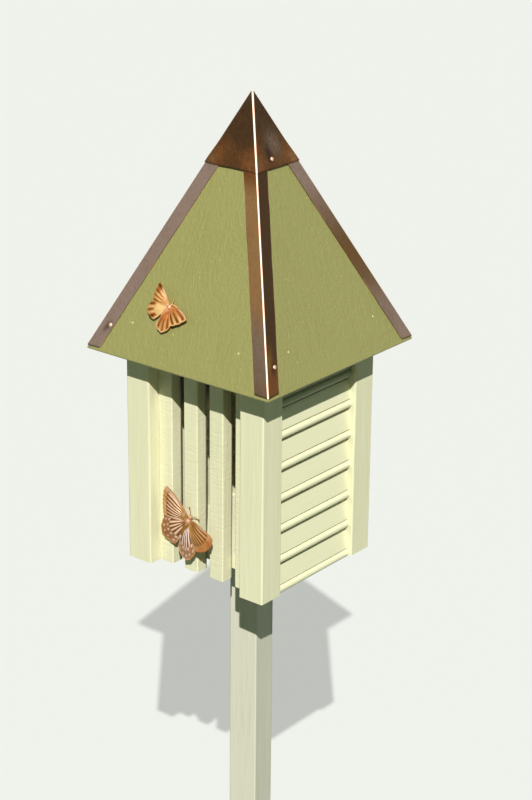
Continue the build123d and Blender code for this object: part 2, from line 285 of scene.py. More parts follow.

# The two butterflies. Plain is how far out the smooth part of a wing reaches, dark_from is where
# the dark between its ridges starts, and droop is how far its margin bends down. Its tones run
# from root to margin, rim is how bright its margin is polished, and edge how bright its leading edge
# is polished under a painted highlight.
PLAIN_WING = {
    "spots": False, "ribs_to": 1.0, "tip_dark": 0.0, "rim": 0.0, "margin": 0.0, "edge": 0.0,
    "edge_span": (0.35, 1.0),
}
ROOF_BUTTERFLY_X = -0.0287
ROOF_BUTTERFLY_UP = 0.0705
ROOF_BUTTERFLY = {
    "size": 0.031,
    "wing": {
        "plain": 0.55, "dark_from": 0.60, "dark": 0.85, "droop": 0.04, "tones": (PINK, GOLDEN, CREAM, ORANGE),
    },
    "left": {
        "raised": 12.0,
        "forewing": {
            "shape": FOREWING, "veins": 4, "tip_dark": 1.0, "dark": 0.7, "plain": 0.45, "edge": 0.9,
            "edge_span": (0.25, 0.65),
        },
        "hindwing": {
            "shape": RAISED_HINDWING, "veins": 3, "plain": 0.66,
            "tones": (PINK, CREAM, CREAM, GOLDEN),
        },
    },
    "right": {
        "raised": 6.0,
        "forewing": {
            "shape": ARCHED_FOREWING, "veins": 3, "plain": 0.22, "dark_from": 0.28, "dark": 0.8, "rim": 1.0,
            "edge": 0.6, "tones": (GOLDEN, ORANGE, GOLDEN, CREAM),
        },
        "hindwing": {
            "shape": HINDWING, "veins": 3, "plain": 0.30, "dark_from": 0.36, "dark": 0.7, "rim": 1.0,
            "tones": (PINK, RED, ORANGE, GOLDEN, CREAM),
        },
    },
    "thorax": PINK,
    "abdomen": FAWN,
    "antenna": CREAM,
    "tilt": 34.0,
}
FRONT_BUTTERFLY_UP = 0.0645
FRONT_BUTTERFLY = {
    "size": 0.0505,
    "wing": {
        "plain": 0.10, "dark_from": 0.62, "dark": 0.25, "droop": 0.03, "rim": 0.4, "margin": 0.4,
        "tones": (OLIVE, PINK, FAWN, GOLDEN),
    },
    "left": {
        "raised": 4.0,
        "forewing": {
            "shape": ROUND_FOREWING, "veins": 7, "plain": 0.22, "ribs_to": 0.80, "margin": 0.75, "edge": 0.9,
            "tones": (OLIVE, OLIVE, PEACH, PEACH, PINK, GOLDEN),
        },
        "hindwing": {
            "shape": HINDWING, "veins": 5, "spots": True, "ribs_to": 0.62,
            "tones": (RED, PEACH, PEACH, FAWN, ORANGE),
        },
    },
    "right": {
        "raised": 20.0,
        "forewing": {
            "shape": BULGING_FOREWING, "veins": 7, "droop": 0.10, "ribs_to": 0.74, "margin": 0.85,
            "edge": 0.3, "tones": (PINK, OLIVE, GOLDEN, GOLDEN, ORANGE),
        },
        "hindwing": {
            "shape": HINDWING, "veins": 5, "spots": True, "ribs_to": 0.66, "droop": 0.05,
            # The pale tones are a painted highlight
            "tones": (OLIVE, PALE_HIGHLIGHT, PALE_HIGHLIGHT, PINK, FAWN),
        },
    },
    "thorax": PINK,
    "abdomen": OLIVE,
    "antenna": ANTENNA_COPPER,
    "tilt": 27.5,
}

# Worked out from the sizes above
EAVE_HALF = POST_FACE + EAVE_OVERHANG
PEAK_LEVEL = EAVE_LEVEL + ROOF_RISE
ROOF_SLOPE = atan2(ROOF_RISE, EAVE_HALF)
FRONT_OUT = Vector((0, -sin(ROOF_SLOPE), cos(ROOF_SLOPE)))  # straight out of the front roof panel
LEG_LEAN = asin(sin(ROOF_SLOPE) / sqrt(2))  # of a strip's leg, away from level across the hip
STRIP_LOW = EAVE_LEVEL + STRIP_SETBACK
STRIP_HIGH = CAP_LEVEL + STRIP_TUCK
STRIP_NAIL_LEVEL = EAVE_LEVEL + STRIP_NAIL["up"] * sin(ROOF_SLOPE)
HIP_FOOT = Vector((EAVE_HALF, -EAVE_HALF, EAVE_LEVEL))  # of the front right hip
HIP_ALONG = (Vector((0, 0, PEAK_LEVEL)) - HIP_FOOT).normalized()
HIP_LEVEL = Vector((1, 1, 0)).normalized()
HIP_OUT = HIP_LEVEL.cross(HIP_ALONG)
CAP_UP = (CAP_LEVEL - EAVE_LEVEL) / sin(ROOF_SLOPE)
INSIDE_SHADE_LEVEL = EAVE_LEVEL - INSIDE_SHADE_DROP
X_WAY, Y_WAY, Z_WAY = (Vector(row) for row in Matrix.Identity(3))


def linear(colour):
    """An sRGB colour out of 255 as the linear RGBA that shaders take."""
    shares = (part / 255 for part in colour)
    return (*(s / 12.92 if s <= 0.04045 else ((s + 0.055) / 1.055) ** 2.4 for s in shares), 1.0)


# Camera, lights and floor

def add_object(name, data, matrix=Matrix.Identity(4)):
    piece = bpy.data.objects.new(name, data)
    piece.matrix_world = matrix
    bpy.context.scene.collection.objects.link(piece)
    return piece


def add_camera():
    data = bpy.data.cameras.new("camera")
    data.sensor_width = SENSOR
    data.lens = FOCAL_PIXELS * SENSOR / IMAGE_HEIGHT
    place = Matrix.Translation(TARGET)
    for angle, axis in ((AZIMUTH, "Z"), (90 - ELEVATION, "X"), (ROLL, "Z")):
        place @= Matrix.Rotation(radians(angle), 4, axis)
    place @= Matrix.Translation((0, 0, DISTANCE))
    bpy.context.scene.camera = add_object("camera", data, place)


def add_far_lamp(name, source, size, power):
    """A lamp as far away as the sun, of an apparent size in degrees."""
    data = bpy.data.lights.new(name, "SUN")
    data.energy = power
    data.angle = radians(size)
    add_object(name, data, source.to_track_quat("Z", "Y").to_matrix().to_4x4())


def node_tree(owner):
    """The nodes and the links of a material or of the world."""
    owner.use_nodes = True
    return owner.node_tree.nodes, owner.node_tree.links


def seen_directly(nodes, links):
    """Is 1 where the camera looks straight at something, or at its image in gloss or glass."""
    path = nodes.new("ShaderNodeLightPath")
    seen = path.outputs["Is Camera Ray"]
    for name in ("Is Glossy Ray", "Is Transmission Ray"):
        either = nodes.new("ShaderNodeMath")
        either.operation = "MAXIMUM"
        links.new(seen, either.inputs[0])
        links.new(path.outputs[name], either.inputs[1])
        seen = either.outputs[0]
    return seen


def mixed_shaders(nodes, links, factor, first, second):
    mix = nodes.new("ShaderNodeMixShader")
    if isinstance(factor, float):
        mix.inputs["Fac"].default_value = factor
    else:
        links.new(factor, mix.inputs["Fac"])
    links.new(first.outputs[0], mix.inputs[1])
    links.new(second.outputs[0], mix.inputs[2])
    return mix


def add_surroundings():
    """A dim even sky that lights the object, and a pale backdrop that the camera sees."""
    world = bpy.data.worlds.new("surroundings")
    nodes, links = node_tree(world)
    light = nodes["Background"]
    light.inputs["Color"].default_value = linear(SKY)
    light.inputs["Strength"].default_value = SKY_POWER
    backdrop = nodes.new("ShaderNodeBackground")
    backdrop.inputs["Color"].default_value = linear(SURROUNDINGS)
    mix = mixed_shaders(nodes, links, seen_directly(nodes, links), light, backdrop)
    links.new(mix.outputs[0], nodes["World Output"].inputs["Surface"])
    bpy.context.scene.world = world


def add_floor():
    """A pale floor for the camera, which throws less light back on the object than it shows."""
    mesh = bpy.data.meshes.new("floor")
    corners = [(-1, -1), (1, -1), (1, 1), (-1, 1)]
    mesh.from_pydata([(x * FLOOR_HALF, y * FLOOR_HALF, 0) for x, y in corners], [], [(0, 1, 2, 3)])
    floor = add_object("floor", mesh)
    material = bpy.data.materials.new("floor")
    nodes, links = node_tree(material)
    bounce = nodes["Principled BSDF"]
    bounce.inputs["Base Color"].default_value = linear(FLOOR_BOUNCE)
    bounce.inputs["Roughness"].default_value = 0.9
    lit = nodes.new("ShaderNodeBsdfDiffuse")
    lit.inputs["Color"].default_value = linear(FLOOR_PAINT)
    glow = nodes.new("ShaderNodeEmission")
    glow.inputs["Color"].default_value = linear(SURROUNDINGS)
    pale = mixed_shaders(nodes, links, FLOOR_GLOW, lit, glow)
    mix = mixed_shaders(nodes, links, seen_directly(nodes, links), bounce, pale)
    links.new(mix.outputs[0], nodes["Material Output"].inputs["Surface"])
    mesh.materials.append(material)


# Materials

class Surface:
    """A procedural material, built up around its Principled shader."""

    def __init__(self, name, **settings):
        self.material = bpy.data.materials.new(name)
        self.nodes, self.links = node_tree(self.material)
        self.shader = self.nodes["Principled BSDF"]
        for socket, value in settings.items():
            self.shader.inputs[socket.replace("_", " ")].default_value = value
        self.place = self.nodes.new("ShaderNodeTexCoord").outputs["Object"]

    def fill(self, socket, value):
        """Sets a socket to a value, or links it to another socket."""
        if isinstance(value, bpy.types.NodeSocket):
            self.links.new(value, socket)
        else:
            socket.default_value = value

    def noise(self, scale, detail=3.0, roughness=0.55, distortion=0.0):
        """Noise from 0 to 1; its scale is how many clouds there are in a metre along each axis."""
        place = self.nodes.new("ShaderNodeVectorMath")
        place.operation = "MULTIPLY"
        self.links.new(self.place, place.inputs[0])
        place.inputs[1].default_value = scale
        node = self.nodes.new("ShaderNodeTexNoise")
        node.inputs["Scale"].default_value = 1.0
        node.inputs["Detail"].default_value = detail
        node.inputs["Roughness"].default_value = roughness
        node.inputs["Distortion"].default_value = distortion
        self.links.new(place.outputs[0], node.inputs["Vector"])
        return node.outputs["Fac"]

    def math(self, operation, first, second=0.0):
        node = self.nodes.new("ShaderNodeMath")
        node.operation = operation
        self.fill(node.inputs[0], first)
        self.fill(node.inputs[1], second)
        return node.outputs[0]

    def fade(self, value, start, end, low=0.0, high=1.0):
        """Low up to the start, high from the end on, and smooth between them."""
        node = self.nodes.new("ShaderNodeMapRange")
        node.interpolation_type = "SMOOTHSTEP"
        for name, number in (("From Min", start), ("From Max", end), ("To Min", low), ("To Max", high)):
            node.inputs[name].default_value = number
        self.links.new(value, node.inputs["Value"])
        return node.outputs["Result"]

    def stripes(self, pattern, count):
        """Soft stripes that follow the contours of a pattern."""
        return self.fade(self.math("SINE", self.math("MULTIPLY", pattern, count)), -1.0, 1.0)

    def blend(self, factor, first, second):
        """From the first colour to the second one; plain colours are given as sRGB."""
        node = self.nodes.new("ShaderNodeMix")
        node.data_type = "RGBA"
        self.fill(node.inputs["Factor"], factor)
        for socket, colour in ((node.inputs[6], first), (node.inputs[7], second)):
            self.fill(socket, linear(colour) if isinstance(colour, tuple) else colour)
        return node.outputs[2]

    def coats(self, under, *layers):
        """Colours over another one, each with its pattern, where that starts and ends, and its share."""
        for colour, pattern, start, end, share in layers:
            under = self.blend(self.fade(pattern, start, end, 0.0, share), under, colour)
        return under

    def along(self, axis):
        parts = self.nodes.new("ShaderNodeSeparateXYZ")
        self.links.new(self.place, parts.inputs[0])
        return parts.outputs[axis]

    def inside(self, low):
        """Is 1 in the room of the house above a low level, and fades out at its walls."""
        within = self.fade(self.along("Z"), low, low + INSIDE_SHADE_FADE)
        for axis, half in (("X", INSIDE_X), ("Y", INSIDE_Y)):
            near = self.fade(self.math("ABSOLUTE", self.along(axis)), half, half + INSIDE_SHADE_REACH, 1.0, 0.0)
            within = self.math("MULTIPLY", within, near)
        return within

    def relief(self, *layers, strength=1.0):
        """Bumps on top of each other, each of a pattern and a depth in metres."""
        below = None
        for pattern, depth in layers:
            node = self.nodes.new("ShaderNodeBump")
            node.inputs["Distance"].default_value = depth
            self.fill(node.inputs["Strength"], strength)
            self.links.new(pattern, node.inputs["Height"])
            if below:
                self.links.new(below, node.inputs["Normal"])
            below = node.outputs["Normal"]
        return below

    def layer(self, name, output="Fac"):
        """A value that the vertices of a mesh carry."""
        node = self.nodes.new("ShaderNodeAttribute")
        node.attribute_name = name
        return node.outputs[output]

    def finish(self, **sockets):
        for name, value in sockets.items():
            self.links.new(value, self.shader.inputs[name.replace("_", " ")])
        return self.material


def sawn_wood(name, grain, roughness, thinness, depth, colour=HOUSE_PAINT, thin_colour=HOUSE_PAINT_THIN,
              saw_marks=0.0, inside_shade_from=INSIDE_SHADE_LEVEL, eave_shade=0.0):
    """Brushed satin paint over sawn wood, with a dark painted shade inside the house from a level up.

    Saw marks are given by their depth, and the painted shade under the eave by its share of the paint.
    """
    stretch = [1.0, 1.0, 1.0]
    stretch["XYZ".index(grain)] = GRAIN_STRETCH
    wood = Surface(name, Specular_IOR_Level=0.4)
    lines = wood.noise([420 * s for s in stretch], detail=4, roughness=0.6)
    waves = wood.noise([60 * s for s in stretch], detail=2)
    blotches = wood.noise((22, 22, 9))
    over_lines = wood.fade(lines, 0.42, 0.70, 0.0, thinness)
    thin = wood.math("MULTIPLY", over_lines, wood.fade(blotches, 0.35, 0.75, 0.3, 1.0))
    paint = wood.blend(thin, colour, thin_colour)
    # Painted shade, which darkens the paint towards the eave
    if eave_shade:
        start, full = (EAVE_LEVEL - drop for drop in EAVE_SHADE_DROP)
        paint = wood.coats(paint, (EAVE_SHADE, wood.along("Z"), start, full, eave_shade))
    # Painted shade inside the house, from a level up
    paint = wood.blend(wood.inside(inside_shade_from), paint, INSIDE_SHADE)
    gloss = wood.fade(waves, 0.3, 0.7, roughness - 0.06, roughness + 0.08)
    bumps = [(waves, 2.5 * depth), (lines, depth)]
    if saw_marks:
        bumps.append((wood.noise((45, 45, 300), roughness=0.6, distortion=0.4), saw_marks))
    return wood.finish(Base_Color=paint, Roughness=gloss, Normal=wood.relief(*bumps))


def roof_wood(name, across):
    """Brushed paint over the figure of a broad board, which rises to the peak in long bows."""
    wood = Surface(name, Specular_IOR_Level=0.4)

    def figure(level, up, **settings):
        """Noise that is the same right through the board."""
        return wood.noise({"X": (level, 0, up), "Y": (0, level, up)}[across], **settings)

    blotches = wood.noise((18, 18, 18))
    rings = wood.stripes(figure(11, 4, detail=2, distortion=0.5), 170.0)
    rings = wood.math("MULTIPLY", rings, wood.fade(blotches, 0.46, 0.66))
    waves = wood.stripes(figure(30, 13, distortion=1.6), 46.0)
    lines = figure(380, 17, detail=4, roughness=0.6)
    strokes = figure(24, 260)
    dimples = wood.noise((210, 210, 150), detail=4, roughness=0.65, distortion=0.6)
    grit = wood.noise((760, 760, 760), detail=2)
    specks = wood.noise((330, 330, 330), detail=1)
    dark = wood.fade(lines, 0.4, 0.7, 0.0, 0.35)
    for more in (wood.math("MULTIPLY", rings, 0.10), wood.fade(grit, 0.5, 0.8, 0.0, 0.5)):
        dark = wood.math("ADD", dark, more)
    dark = wood.math("MULTIPLY", dark, wood.fade(blotches, 0.3, 0.7, 0.5, 1.0))
    paint = wood.blend(dark, ROOF_PAINT, ROOF_PAINT_DARK)
    paint = wood.coats(
        paint, (ROOF_PAINT_PALE, dimples, 0.55, 0.8, 0.5), (ROOF_SPECK, specks, 0.75, 0.82, 0.8),
    )
    bumps = wood.relief(
        (rings, 0.00010), (waves, 0.00013), (lines, 0.00020), (strokes, 0.00022), (dimples, 0.00070),
        (grit, 0.00022),
    )
    return wood.finish(Base_Color=paint, Roughness=wood.fade(strokes, 0.3, 0.7, 0.36, 0.5), Normal=bumps)


def aged_copper(name, mottling, streaking):
    """Copper sheet with the patina of its vertices, mottled, stained, and polished along its folds, where it
    has a painted highlight.

    Mottling is how strong its blotches are, and streaking the marks that run down it.
    """
    metal = Surface(name, Metallic=0.7, Specular_IOR_Level=0.2)
    rubbed = metal.layer("rubbed")
    clouds = metal.noise((30, 30, 16), detail=5, roughness=0.62)
    mottle = metal.noise((210, 210, 150), detail=6, roughness=0.72, distortion=0.5)
    russet = metal.noise((46, 46, 30), detail=4, distortion=0.8)
    specks = metal.noise((620, 620, 620), detail=2)
    streaks = metal.noise((420, 420, 14))
    tone = metal.coats(
        metal.layer("tone", "Color"),
        (RUSSET, russet, 0.50, 0.76, 0.35 * mottling),
        (UMBER, clouds, 0.50, 0.74, 0.5 * mottling),
        (SOOT, mottle, 0.46, 0.72, 0.6 * mottling),
        (TAN, specks, 0.58, 0.76, 0.35 * mottling),
        (SOOT, streaks, 0.48, 0.70, streaking),
    )
    tone = metal.blend(metal.layer("stain"), tone, SOOT)
    # Painted highlight along the polished folds
    tone = metal.coats(tone, (RUBBED_HIGHLIGHT_COPPER, rubbed, 0.05, 0.5, 1.0), (WORN_HIGHLIGHT_COPPER, rubbed, 0.4, 0.9, 1.0))
    worn_and_highlight = metal.fade(rubbed, 0.05, 0.6)
    patina_gloss = metal.fade(mottle, 0.3, 0.7, 0.38, 0.54)
    gloss = metal.math("ADD", patina_gloss, metal.math("MULTIPLY", worn_and_highlight, 0.10))
    kept = metal.math("SUBTRACT", 1.0, worn_and_highlight)
    bumps = metal.relief((clouds, 0.0005), (mottle, 0.00010), strength=kept)
    return metal.finish(Base_Color=tone, Roughness=gloss, Normal=bumps)


def stamped_copper(name, hollow):
    """Stamped copper with the tones of its vertices, antiqued in its hollows and polished on its ridges."""
    metal = Surface(name, Metallic=0.4, Specular_IOR_Level=0.05)
    clouds = metal.noise((160, 160, 160), detail=4, roughness=0.6)
    grit = metal.noise((900, 900, 900))
    tone = metal.coats(
        hollow, (metal.layer("tone", "Color"), metal.layer("ridge"), 0.15, 0.75, 1.0),
        (hollow, clouds, 0.5, 0.8, 0.35),
    )
    tone = metal.blend(metal.layer("patch"), tone, ANTIQUE_COPPER)
    gloss = metal.fade(grit, 0.3, 0.7, 0.36, 0.52)
    return metal.finish(Base_Color=tone, Roughness=gloss, Normal=metal.relief((grit, 0.00008)))


def painted_metal(name, colour):
    metal = Surface(name, Specular_IOR_Level=0.5)
    grit = metal.noise((900, 900, 900))
    tone = metal.coats(colour, (ROOF_PAINT, grit, 0.4, 0.75, 0.3))
    return metal.finish(Base_Color=tone, Roughness=metal.fade(grit, 0.3, 0.7, 0.25, 0.4))


def dress(material, *prefixes):
    """Gives a material to the nodes whose names start with a prefix."""
    for name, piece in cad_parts.items():
        if name.startswith(prefixes):
            piece.material_slots[0].material = material


# Meshes

class Sheet:
    """Vertices and faces of a piece as it is built up, with layers of values for its material."""

    def __init__(self, **plain):
        """Each layer by its name, with the value that a vertex has unless it is given another."""
        self.points, self.faces, self.plain = [], [], plain
        self.layers = {name: [] for name in plain}

    def add(self, rows, wrap=False, flip=False, **layers):
        """A skin over rows of points; wrap joins the last point of each row to its first."""
        start, width = len(self.points), len(rows[0])
        for number, row in enumerate(rows):
            self.points += row
            for name, value in self.plain.items():
                self.layers[name] += layers[name][number] if name in layers else [value] * width
        for number in range(len(rows) - 1):
            for place in range(width if wrap else width - 1):
                after = (place + 1) % width
                low, high = start + number * width, start + (number + 1) * width
                face = (low + place, low + after, high + after, high + place)
                self.faces.append(face[::-1] if flip else face)

    def grids(self, rows):
        """The tops, the bottoms and the layers of rows of vertices that hold them in this order."""
        top, bottom, *values = zip(*([list(part) for part in zip(*row)] for row in rows))
        return top, bottom, dict(zip(self.plain, values))

    def add_plate(self, rows, flip=False):
        """A closed plate of rows of vertices; the layers are those of its top."""
        top, bottom, layers = self.grids(rows)
        self.add(top, flip=flip, **layers)
        self.add(bottom, flip=not flip)
        self.add([outline_of(top), outline_of(bottom)], wrap=True, flip=flip)

    def add_nail(self, number, foot, out, radius=NAIL_RADIUS, height=NAIL_HEIGHT):
        """The low round head of a nail that stands at a place of the front, turned to another side."""
        foot, out = quarter_turn(number) @ foot, quarter_turn(number) @ out
        first = out.orthogonal().normalized()
        second = out.cross(first)
        rows, head_wear_and_highlight = [], []
        for ring in range(NAIL_RINGS + 1):
            rise = pi / 2 * ring / NAIL_RINGS
            spread = max(cos(rise), NAIL_TOP_SHARE) * radius
            rows.append(circle(foot + out * (height * sin(rise)), first, second, spread, ROUND_SIDES))
            # Nail heads polished bright with a painted highlight, less so at their foot
            head_wear_and_highlight.append([1.0 if ring else NAIL_FOOT_WEAR_AND_HIGHLIGHT] * ROUND_SIDES)
        start = len(self.points) + NAIL_RINGS * ROUND_SIDES
        self.add(rows, wrap=True, rubbed=head_wear_and_highlight)
        self.faces.append(tuple(range(start, start + ROUND_SIDES)))

    def piece(self, name, material, place=Matrix.Identity(4)):
        """The finished object, its points moved by a matrix into the shared frame."""
        mesh = bpy.data.meshes.new(name)
        mesh.from_pydata([place @ point for point in self.points], [], self.faces)
        for label, values in self.layers.items():
            kind, field = "FLOAT", "value"
            if isinstance(values[0], tuple):
                kind, field, values = "FLOAT_COLOR", "color", [part for value in values for part in value]
            mesh.attributes.new(label, kind, "POINT").data.foreach_set(field, values)
        mesh.validate()
        mesh.shade_smooth()
        mesh.materials.append(material)
        return add_object(name, mesh)


def placed(piece, node=None):
    """The piece on the house, in the place of a node if one is named."""
    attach(piece, "root")
    if node:
        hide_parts(node)
    return piece


def outline_of(rows):
    """The points round the edge of a grid, in order."""
    right_side = [row[-1] for row in rows[1:]]
    left_side = [row[0] for row in rows[-2:0:-1]]
    return rows[0] + right_side + rows[-1][-2::-1] + left_side


def circle(centre, first, second, radius, sides):
    """Points round a centre, from the first direction towards the second."""
    turns = (2 * pi * step / sides for step in range(sides))
    return [centre + (first * cos(turn) + second * sin(turn)) * radius for turn in turns]


def quarter_turn(number):
    """From the front and its right hip towards the back."""
    return Matrix.Rotation(radians(90 * number), 3, "Z")


def on_front_panel(x, up):
    """A point on the front roof panel, up its face from the eave."""
    return Vector((x, -EAVE_HALF + up * cos(ROOF_SLOPE), EAVE_LEVEL + up * sin(ROOF_SLOPE)))


def seat(origin, out, tilt):
    """A matrix onto a wall or panel: Y of the piece up it, turned by the tilt, and Z out of it."""
    level = Z_WAY.cross(out).normalized()
    turn = Matrix((level, out.cross(level), out)).transposed().to_4x4()
    return Matrix.Translation(origin) @ turn @ Matrix.Rotation(radians(-tilt), 4, "Z")


# Shares, waves and tones

def bell(distance, width):
    return exp(-((distance / width) ** 2))


def smooth(value, start, end):
    """From 0 at the start to 1 at the end, with soft ends."""
    share = min(max((value - start) / (end - start), 0.0), 1.0)
    return share * share * (3 - 2 * share)


def towards(colour, tone, share):
    """A linear colour moved a share of the way to an sRGB tone."""
    return tuple(first + (second - first) * share for first, second in zip(colour, linear(tone)))


def mixed(share, tones):
    """The colour at a share of the way through a few sRGB tones, as linear RGBA."""
    position = min(max(share, 0.0), 0.9999) * (len(tones) - 1)
    number = int(position)
    return towards(linear(tones[number]), tones[number + 1], smooth(position - number, 0.0, 1.0))


def wander(place, seed, height, length):
    """Slow noise along a length in metres, up to its height on both sides of nothing."""
    return height * noise.noise(Vector((place / length, seed, 0.5 * seed)))


def mark(across, up, strength, width, place=(0.0, 0.0), up_share=1.0):
    """How strong a soft mark is at a distance across and up from its nail."""
    return strength * bell(hypot(across - place[0], (up - place[1]) * up_share), width)


def fold_wear_and_highlight(distance, half_width):
    """How polished the copper is at a distance from the middle of its fold, with its painted highlight."""
    return 1 - smooth(abs(distance), half_width, half_width + FOLD_HIGHLIGHT_FADE)


def stained(beside_nail, up, strength, reach, most):
    """The stain beside a nail and along the lower end of the copper."""
    return min(beside_nail + strength * (1 - smooth(up, 0.0, reach)), most)


# Copper over the hips

def strip_places():
    """Places across a strip, which are closest together on its fold."""
    fold = [FOLD_STEP * step for step in range(-FOLD_STEPS, FOLD_STEPS + 1)]
    leg = [LEG_START + (STRIP_LEG - LEG_START) * step / LEG_STEPS for step in range(LEG_STEPS + 1)]
    return [-across for across in reversed(leg)] + fold + leg


def strip_section(across):
    """How far a place on a strip is beside and out of its hip, and how far the sheet turns."""
    turn = min(abs(across) / STRIP_FOLD_RADIUS, LEG_LEAN)
    straight = max(abs(across) - STRIP_FOLD_RADIUS * turn, 0.0)
    fold_top = STRIP_LIFT / cos(LEG_LEAN) - STRIP_FOLD_RADIUS * (1 / cos(LEG_LEAN) - 1)
    beside = STRIP_FOLD_RADIUS * sin(turn) + straight * cos(LEG_LEAN)
    out = fold_top - STRIP_FOLD_RADIUS * (1 - cos(turn)) - straight * sin(LEG_LEAN)
    return copysign(beside, across), out, copysign(turn, across)


def up_the_hip(point, level):
    """The point moved along the front right hip to a level."""
    return point + HIP_ALONG * ((level - point.z) / HIP_ALONG.z)


def strip_vertex(number, legs, across, height, at_end):
    """A point of a strip and the one under it, with its tone, polish and painted highlight, and stain."""
    side = copysign(1, across)
    edge_share = abs(across) / STRIP_LEG
    share = (height - STRIP_LOW) / (CAP_LEVEL - STRIP_LOW)
    from_nail, above_nail = across - STRIP_NAIL["across"], height - STRIP_NAIL_LEVEL

    waves = wander(height, number + 3 * side, *STRIP_EDGE_WAVES) * edge_share ** 6
    beside, out, turn = strip_section(across * (1 + waves))
    normal = HIP_LEVEL * sin(turn) + HIP_OUT * cos(turn)
    lift = (STRIP_EDGE_LIFT - STRIP_LIFT) * edge_share ** 2
    lift += wander(height, 7 * number + 2 * side, *STRIP_DENTS) * edge_share
    lift -= mark(from_nail, above_nail / sin(ROOF_SLOPE), *STRIP_PRESS)
    ragged = wander(across, number + 11, *STRIP_END_WAVES) if at_end else 0.0
    point = HIP_FOOT + HIP_LEVEL * beside + HIP_OUT * out + normal * lift
    point = up_the_hip(point, height + ragged)

    tone = mixed(share + wander(height, number + side, *STRIP_TONE_DRIFT), legs[across > 0])
    tone = towards(tone, OCHRE, NAIL_STAIN[number] * mark(from_nail, above_nail, *STRIP_OCHRE))
    half_width = FOLD_HIGHLIGHT_HALF_WIDTH * (1 + wander(height, number + 20, *STRIP_HIGHLIGHT_WAVES))
    patches = smooth(wander(height, number + side, *STRIP_EDGE_PATCHES), *EDGE_WEAR_PATCHES)
    edge_wear = EDGE_WEAR * smooth(edge_share, EDGE_WEAR_FROM, 1.0) * patches
    rubbed = max(fold_wear_and_highlight(across, half_width) * FOLD_WEAR_AND_HIGHLIGHT[number], edge_wear)
    stain = stained(mark(from_nail, above_nail, *STRIP_STAIN), share, *STRIP_END_STAIN)
    turned = quarter_turn(number)
    return turned @ point, turned @ (point - normal * SHEET_THICKNESS), tone, rubbed, stain


def hip_strip(number, legs):
    """The folded copper strip over a hip, with the patinas of its two legs."""
    rows = []
    for step in range(STRIP_ROWS + 1):
        height = STRIP_LOW + (STRIP_HIGH - STRIP_LOW) * step / STRIP_ROWS
        rows.append([strip_vertex(number, legs, across, height, step == 0) for across in strip_places()])
    sheet = Sheet(tone=linear(RUSSET), rubbed=0.0, stain=PLAIN_STAIN)
    sheet.add_plate(rows)
    leg_out = (HIP_LEVEL * sin(LEG_LEAN) + HIP_OUT * cos(LEG_LEAN)).normalized()
    leg_way = HIP_LEVEL * cos(LEG_LEAN) - HIP_OUT * sin(LEG_LEAN)
    nail = HIP_FOOT + leg_way * STRIP_NAIL["across"] + leg_out * STRIP_NAIL["lift"]
    sheet.add_nail(number, up_the_hip(nail, STRIP_NAIL_LEVEL), leg_out)
    return sheet


# Copper over the peak

def cap_places(half):
    """Places along a side of the cap and round its next fold, where it has a half width.

    Each is sideways, outwards, how far the sheet turns there and how far it is from a fold.
    """
    rounding = min(CAP_FOLD_RADIUS, CAP_ROUND_SHARE * half)
    flat = half - rounding
    places = []
    for step in range(CAP_SIDE_STEPS):
        sideways = flat * (2 * step / CAP_SIDE_STEPS - 1)
        places.append((sideways, -half, 0.0, flat - abs(sideways) + pi / 4 * rounding))
    for step in range(CAP_CORNER_STEPS):
        turn = pi / 2 * step / CAP_CORNER_STEPS
        sideways, outwards = flat + rounding * sin(turn), -flat - rounding * cos(turn)
        places.append((sideways, outwards, turn, abs(turn - pi / 4) * rounding))
    return places


def cap_vertex(number, place, half, height, at_end):
    """A point of the cap and the one under it, with its tone, polish and painted highlight, and stain."""
    sideways, outwards, turn, from_fold = place
    up = (height - CAP_LEVEL) / sin(ROOF_SLOPE)
    from_nail, above_nail = sideways + CAP_NAIL["across"], up - CAP_NAIL["up"]
    dents = noise.noise(Vector((sideways, number, height)) * CAP_DENT_SCALE)
    push = CAP_DENT * dents * smooth(from_fold, *CAP_DENT_SPAN)
    glow = mark(abs(sideways) - CAP_CORNER_AT * half, up, *CAP_CORNER_GLOW) + mark(0.0, up, *CAP_EDGE_GLOW)
    tone = mixed(glow + CAP_MOTTLE * dents, CAP_TONES)
    streak = 0.0
    if number in CAP_NAILED_SIDES:
        push -= mark(from_nail, above_nail, *CAP_PRESS)
        tone = towards(tone, SLATE, mark(from_nail, above_nail, *CAP_VEIL))
        streak = mark(from_nail, above_nail, *CAP_STREAK)
    normal = Matrix.Rotation(turn, 3, "Z") @ FRONT_OUT
    ragged = wander(sideways + number, 31, *CAP_END_WAVES) if at_end else 0.0
    point = Vector((sideways, outwards, height + ragged)) + normal * push
    fold = (number if sideways > 0 else number - 1) % 4
    half_width = FOLD_HIGHLIGHT_HALF_WIDTH * (CAP_WEAR_AND_HIGHLIGHT + wander(height, fold, *CAP_HIGHLIGHT_WAVES))
    rubbed = fold_wear_and_highlight(from_fold, half_width) * FOLD_WEAR_AND_HIGHLIGHT[fold]
    stain = stained(streak, up, *CAP_END_STAIN)
    turned = quarter_turn(number)
    return turned @ point, turned @ (point - normal * SHEET_THICKNESS), tone, rubbed, stain


